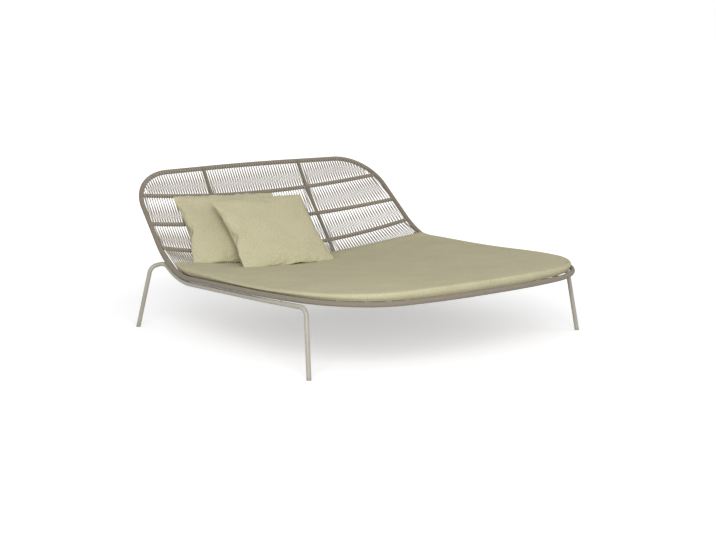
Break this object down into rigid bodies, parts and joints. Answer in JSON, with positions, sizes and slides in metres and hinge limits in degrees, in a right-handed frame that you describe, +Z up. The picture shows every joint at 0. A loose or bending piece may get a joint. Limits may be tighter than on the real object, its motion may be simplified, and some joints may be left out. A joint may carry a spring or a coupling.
{
  "type": "outdoor daybed",
  "caption": "Wide deep outdoor daybed: a bent tube loop with a dished woven cord back, tube legs, a loose seat cushion and two throw pillows.",
  "frame": {"origin": "on the floor, midway between the sides and midway between the front of the seat rail and the back of the hoop", "axes": "+X to the right seen from the front, +Y from the front to the back, +Z up"},
  "size_m": [1.86, 2.0335, 0.7521],
  "materials": {
    "frame_tube": "powder coated",
    "wound_cord": "matt twisted outdoor cord, tightly wound",
    "woven_cord": "matt round outdoor cord",
    "strap_webbing": "woven webbing",
    "leg_coating": "satin cream powder coat",
    "glide_plastic": "matt",
    "cushion_fabric": "plain woven outdoor fabric",
    "pillow_fabric": "plain woven outdoor fabric",
    "foam": "open-cell foam and fibre filling"
  },
  "bodies": {
    "frame": {"back_hoop_tube": "frame_tube", "back_hoop_wrap": "wound_cord", "back_rail_tube_lower": "frame_tube", "back_rail_tube_middle": "frame_tube", "back_rail_tube_upper": "frame_tube", "back_rail_wrap_lower": "wound_cord", "back_rail_wrap_middle": "wound_cord", "back_rail_wrap_upper": "wound_cord", "cross_rail_tube_crook": "frame_tube", "cross_rail_tube_seat_front": "frame_tube", "cross_rail_tube_seat_rear": "frame_tube", "foot_glide_front_left": "glide_plastic", "foot_glide_front_right": "glide_plastic", "foot_glide_rear_left": "glide_plastic", "foot_glide_rear_right": "glide_plastic", "front_leg_left": "leg_coating", "front_leg_right": "leg_coating", "front_rail_tube": "frame_tube", "front_rail_wrap": "wound_cord", "rear_leg_left": "leg_coating", "rear_leg_right": "leg_coating", "rib_tube_left": "frame_tube", "rib_tube_right": "frame_tube", "rib_wrap_left": "wound_cord", "rib_wrap_right": "wound_cord", "runner_left": "leg_coating", "runner_right": "leg_coating", "runner_spacers_left": "leg_coating", "runner_spacers_right": "leg_coating", "seat_straps_front": "strap_webbing", "seat_straps_middle": "strap_webbing", "seat_straps_rear": "strap_webbing", "side_rail_tube_left": "frame_tube", "side_rail_tube_right": "frame_tube", "side_rail_wrap_left": "wound_cord", "side_rail_wrap_right": "wound_cord", "weave_crook_left": "woven_cord", "weave_crook_middle": "woven_cord", "weave_crook_right": "woven_cord", "weave_lower_left": "woven_cord", "weave_lower_middle": "woven_cord", "weave_lower_right": "woven_cord", "weave_top_left": "woven_cord", "weave_top_middle": "woven_cord", "weave_top_right": "woven_cord", "weave_upper_left": "woven_cord", "weave_upper_middle": "woven_cord", "weave_upper_right": "woven_cord"},
    "seat_cushion": {"seat_cushion_cover": "cushion_fabric", "seat_cushion_foam": "foam"},
    "pillow_left": {"pillow_cover_left": "pillow_fabric", "pillow_filling_left": "foam"},
    "pillow_right": {"pillow_cover_right": "pillow_fabric", "pillow_filling_right": "foam"}
  },
  "joints": [
    {"name": "seat_cushion_lift", "type": "slide", "parent": "frame", "child": "seat_cushion", "axis": [0, 0, 1], "range_m": [0, 0.3]},
    {"name": "pillow_left_lift", "type": "slide", "parent": "seat_cushion", "child": "pillow_left", "axis": [0, -0.78, 0.6258], "range_m": [0, 0.3]},
    {"name": "pillow_right_lift", "type": "slide", "parent": "pillow_left", "child": "pillow_right", "axis": [0, -0.78, 0.6258], "range_m": [0, 0.3]}
  ]
}
